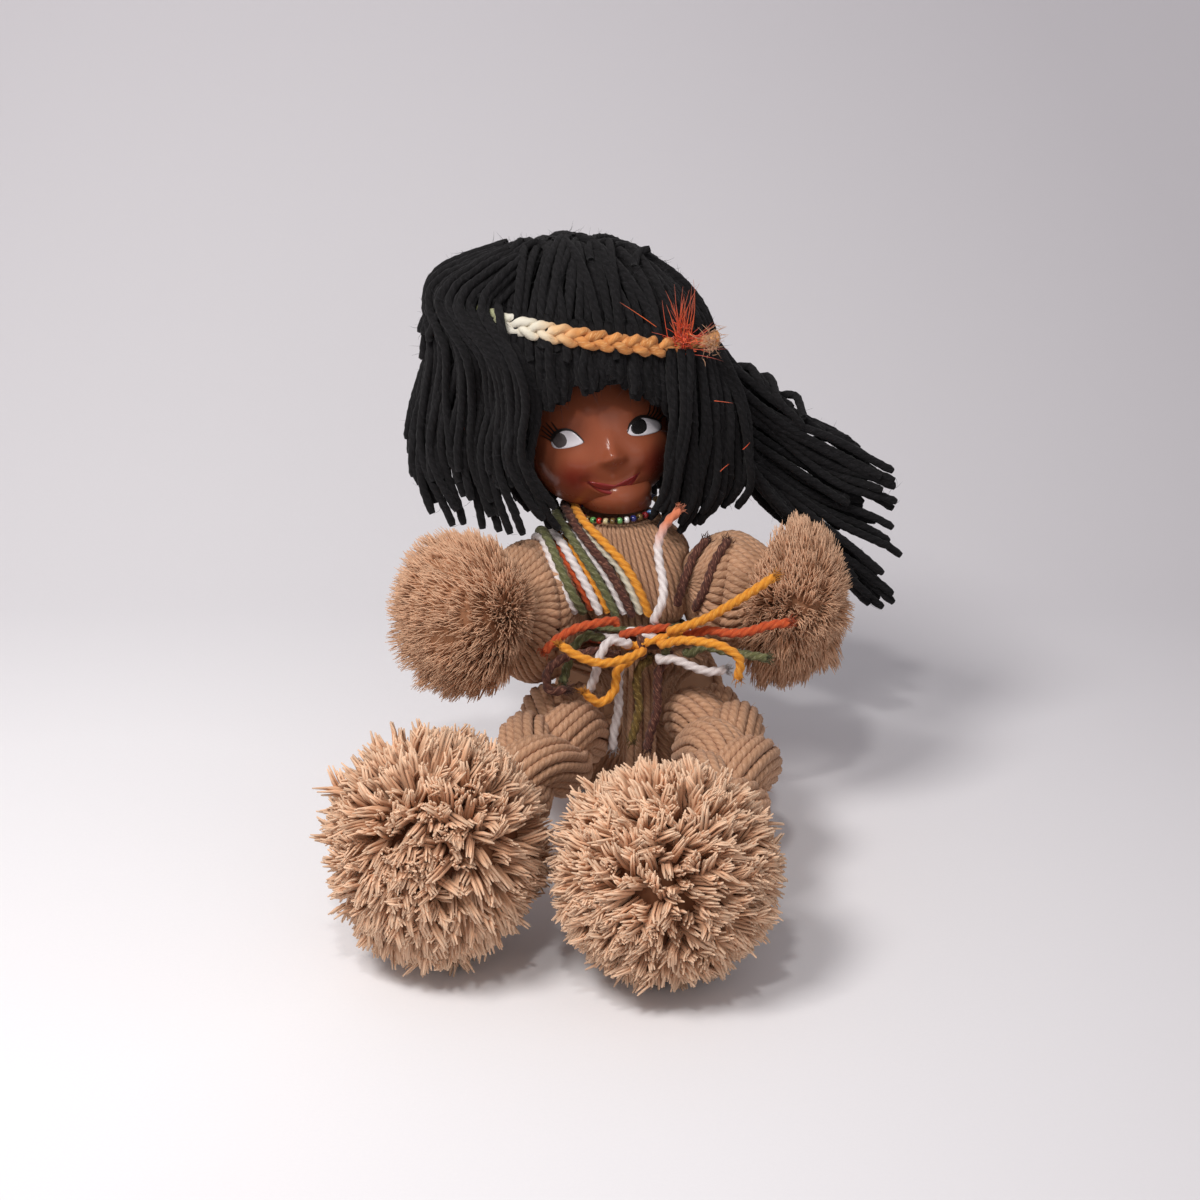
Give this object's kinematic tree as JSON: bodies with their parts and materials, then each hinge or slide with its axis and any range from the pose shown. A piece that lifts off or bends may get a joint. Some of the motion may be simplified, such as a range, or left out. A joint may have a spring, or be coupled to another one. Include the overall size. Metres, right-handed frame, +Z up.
{
  "type": "yarn doll",
  "caption": "Seated yarn doll: tan yarn body, braided legs, pompom hands and feet, moulded face, long black yarn hair in a headband, and coloured yarns tied in a bow at the waist.",
  "frame": {"origin": "on the flat underside of the body, where the doll sits, under the middle of the waist", "axes": "+Z up, the doll faces -Y, +X is the side of its raised bow ends and swept-out hair, to a viewer's right from the front"},
  "size_m": [0.2534, 0.2986, 0.253],
  "materials": {
    "tan_yarn": "plied yarn, matt",
    "pompom_yarn": "cut yarn pile, matt",
    "black_yarn": "plied yarn, matt",
    "moulded_face": "glossy, painted eyes, lips and cheeks",
    "gold_yarn": "plied yarn, matt",
    "rust_yarn": "plied yarn, matt",
    "green_yarn": "plied yarn, matt",
    "white_yarn": "plied yarn, matt",
    "brown_yarn": "plied yarn, matt",
    "olive_yarn": "plied yarn, matt",
    "cream_yarn": "plied yarn, matt",
    "braid_yarn": "three-strand braid, matt",
    "feather_barbs": "loose barbs, slight sheen",
    "seed_beads": "glossy glass-like beads in mixed colours"
  },
  "bodies": {
    "torso": {"body_bundle": "tan_yarn", "waist_wrap": "rust_yarn", "bow_knot": "gold_yarn", "bead_necklace": "seed_beads", "sash_white_outer": "white_yarn", "sash_green_outer": "green_yarn", "sash_rust": "rust_yarn", "sash_white_middle": "white_yarn", "sash_gold_middle": "gold_yarn", "sash_green_inner": "green_yarn", "sash_white_inner": "white_yarn", "sash_brown": "brown_yarn", "sash_cream": "cream_yarn", "sash_gold_inner": "gold_yarn", "shoulder_yarn_inner": "brown_yarn", "shoulder_yarn_outer": "brown_yarn", "tail_white_up": "white_yarn", "tail_gold_right": "gold_yarn", "tail_rust_right": "rust_yarn", "tail_green_right": "green_yarn", "loop_gold_right": "gold_yarn", "loop_white_right": "white_yarn", "loop_gold_left": "gold_yarn", "loop_gold_down": "gold_yarn", "strand_white_left": "white_yarn", "curl_brown_left": "brown_yarn", "tail_green_left": "green_yarn", "tail_rust_left": "rust_yarn", "tail_white_down": "white_yarn", "tail_olive_down": "olive_yarn", "tail_brown_down": "brown_yarn"},
    "neck": {"neck_knob": "tan_yarn"},
    "head": {"head_core": "tan_yarn", "face_mask": "moulded_face", "hair_crown": "black_yarn", "hair_fringe": "black_yarn", "headband": "braid_yarn", "feather": "feather_barbs", "lock_left_front": "black_yarn", "lock_left_side": "black_yarn", "lock_left_outer": "black_yarn", "lock_back_left": "black_yarn", "lock_back_middle": "black_yarn", "lock_back_right": "black_yarn", "lock_right_front": "black_yarn", "wing_upper": "black_yarn", "wing_middle": "black_yarn", "wing_lower": "black_yarn"},
    "arm_left": {"arm_bundle_left": "tan_yarn", "wrist_tie_left": "tan_yarn", "hand_pompom_left": "pompom_yarn"},
    "arm_right": {"arm_bundle_right": "tan_yarn", "wrist_tie_right": "tan_yarn", "hand_pompom_right": "pompom_yarn"},
    "leg_left": {"leg_bundle_left": "tan_yarn", "ankle_tie_left": "tan_yarn", "foot_pompom_left": "pompom_yarn"},
    "leg_right": {"leg_bundle_right": "tan_yarn", "ankle_tie_right": "tan_yarn", "foot_pompom_right": "pompom_yarn"}
  },
  "joints": [
    {"name": "head_nod", "type": "hinge", "parent": "torso", "child": "neck", "pos_m": [-0.01, 0.008, 0.139], "axis": [1, 0, 0], "range_deg": [-8, 6], "deforming": ["wing_upper", "wing_middle", "wing_lower", "lock_left_front", "lock_left_side", "lock_left_outer", "lock_right_front"]},
    {"name": "head_turn", "type": "hinge", "parent": "neck", "child": "head", "pos_m": [-0.01, 0.008, 0.139], "axis": [0, 0, 1], "range_deg": [-12, 12], "deforming": ["wing_upper", "wing_middle", "wing_lower", "lock_left_front", "lock_left_side", "lock_left_outer", "lock_right_front"]},
    {"name": "arm_left_raise", "type": "hinge", "parent": "torso", "child": "arm_left", "pos_m": [-0.048, -0.006, 0.097], "axis": [0, 1, 0], "range_deg": [-12, 16]},
    {"name": "arm_right_raise", "type": "hinge", "parent": "torso", "child": "arm_right", "pos_m": [0.04, -0.003, 0.104], "axis": [0, -1, 0], "range_deg": [-8, 20]},
    {"name": "leg_left_lift", "type": "hinge", "parent": "torso", "child": "leg_left", "pos_m": [-0.03, -0.014, 0.044], "axis": [-1, 0, 0], "range_deg": [-60, 0]},
    {"name": "leg_right_lift", "type": "hinge", "parent": "torso", "child": "leg_right", "pos_m": [0.03, -0.016, 0.044], "axis": [-1, 0, 0], "range_deg": [-60, 0]}
  ]
}
